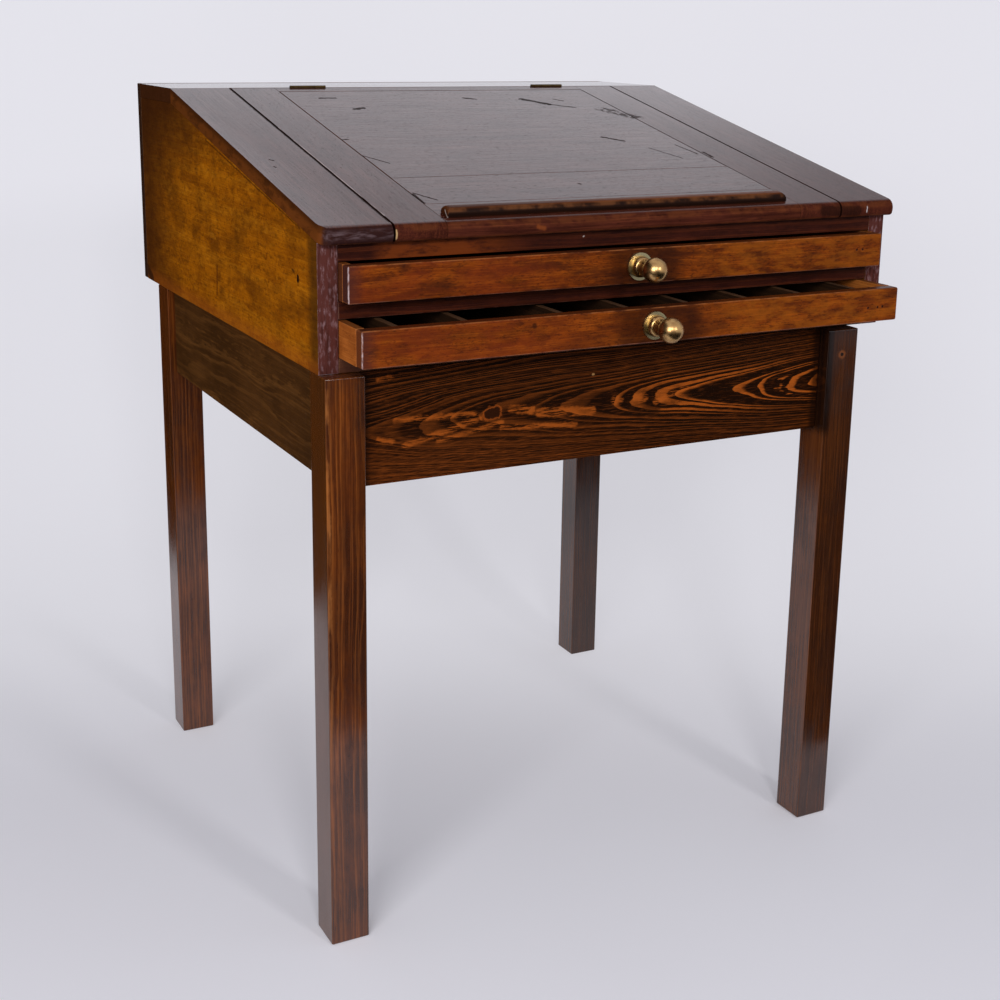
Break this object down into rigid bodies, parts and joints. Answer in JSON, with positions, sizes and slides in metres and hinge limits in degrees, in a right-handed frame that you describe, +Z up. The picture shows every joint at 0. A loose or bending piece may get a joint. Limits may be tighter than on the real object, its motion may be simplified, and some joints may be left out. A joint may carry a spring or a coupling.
{
  "type": "writing bureau",
  "caption": "Wooden writing bureau: a shallow sloping box with a lift-up lid over a well and shallow drawers with ball knobs, on a stand with straight square legs.",
  "frame": {"origin": "on the floor, under the middle of the bureau's box of extents with its drawers at rest", "axes": "+X to the right of someone sitting at it, -Y to the front where they sit, +Z up"},
  "size_m": [0.71, 0.7684, 0.8884],
  "materials": {
    "leg_wood": "stained pine, old polish",
    "apron_wood": "stained pine with strong figure, old polish",
    "side_wood": "golden brown, old polish",
    "case_wood": "dark red brown, old polish",
    "slope_wood": "dark brown, polished by use",
    "drawer_wood": "orange brown, old polish",
    "inner_wood": "unpolished",
    "knob_brass": "aged, polished by use",
    "hinge_brass": "dull"
  },
  "bodies": {
    "case": {"leg_front_left": "leg_wood", "leg_back_left": "leg_wood", "leg_front_right": "leg_wood", "leg_back_right": "leg_wood", "apron_front": "apron_wood", "apron_back": "apron_wood", "apron_left": "apron_wood", "apron_right": "apron_wood", "side_left": "side_wood", "side_right": "side_wood", "back_board": "case_wood", "bottom_board": "case_wood", "mid_rail": "case_wood", "top_rail": "case_wood", "flat_top": "slope_wood", "cheek_left": "slope_wood", "cheek_right": "slope_wood", "well_floor": "inner_wood", "runner_left": "inner_wood", "runner_right": "inner_wood", "hinge_left_case_leaf": "hinge_brass", "hinge_left_pin": "hinge_brass", "hinge_right_case_leaf": "hinge_brass", "hinge_right_pin": "hinge_brass"},
    "lid": {"book_rest": "case_wood", "lid_stile_left": "slope_wood", "lid_stile_right": "slope_wood", "lid_front_rail": "slope_wood", "lid_back_rail": "slope_wood", "lid_panel_back_board": "slope_wood", "lid_panel_front_board": "slope_wood", "hinge_left_lid_leaf": "hinge_brass", "hinge_right_lid_leaf": "hinge_brass"},
    "upper_drawer": {"upper_drawer_front": "drawer_wood", "upper_drawer_side_left": "drawer_wood", "upper_drawer_side_right": "drawer_wood", "upper_drawer_back": "inner_wood", "upper_drawer_bottom": "inner_wood", "upper_drawer_knob": "knob_brass", "upper_drawer_knob_nut": "knob_brass"},
    "lower_drawer": {"lower_drawer_front": "drawer_wood", "lower_drawer_side_left": "drawer_wood", "lower_drawer_side_right": "drawer_wood", "lower_drawer_back": "inner_wood", "lower_drawer_bottom": "inner_wood", "lower_drawer_knob": "knob_brass", "lower_drawer_knob_nut": "knob_brass", "lower_drawer_divider_1": "inner_wood", "lower_drawer_divider_2": "inner_wood", "lower_drawer_divider_3": "inner_wood", "lower_drawer_divider_4": "inner_wood", "lower_drawer_divider_5": "inner_wood", "lower_drawer_divider_6": "inner_wood", "lower_drawer_divider_7": "inner_wood", "lower_drawer_divider_8": "inner_wood"}
  },
  "joints": [
    {"name": "lid_hinge", "type": "hinge", "parent": "case", "child": "lid", "pos_m": [0, 0.22345, 0.88638], "axis": [-1, 0, 0], "range_deg": [0, 190]},
    {"name": "upper_drawer_slide", "type": "slide", "parent": "case", "child": "upper_drawer", "axis": [0, -1, 0], "range_m": [-0.0247, 0.4253]},
    {"name": "lower_drawer_slide", "type": "slide", "parent": "case", "child": "lower_drawer", "axis": [0, -1, 0], "range_m": [-0.0589, 0.3911]}
  ]
}
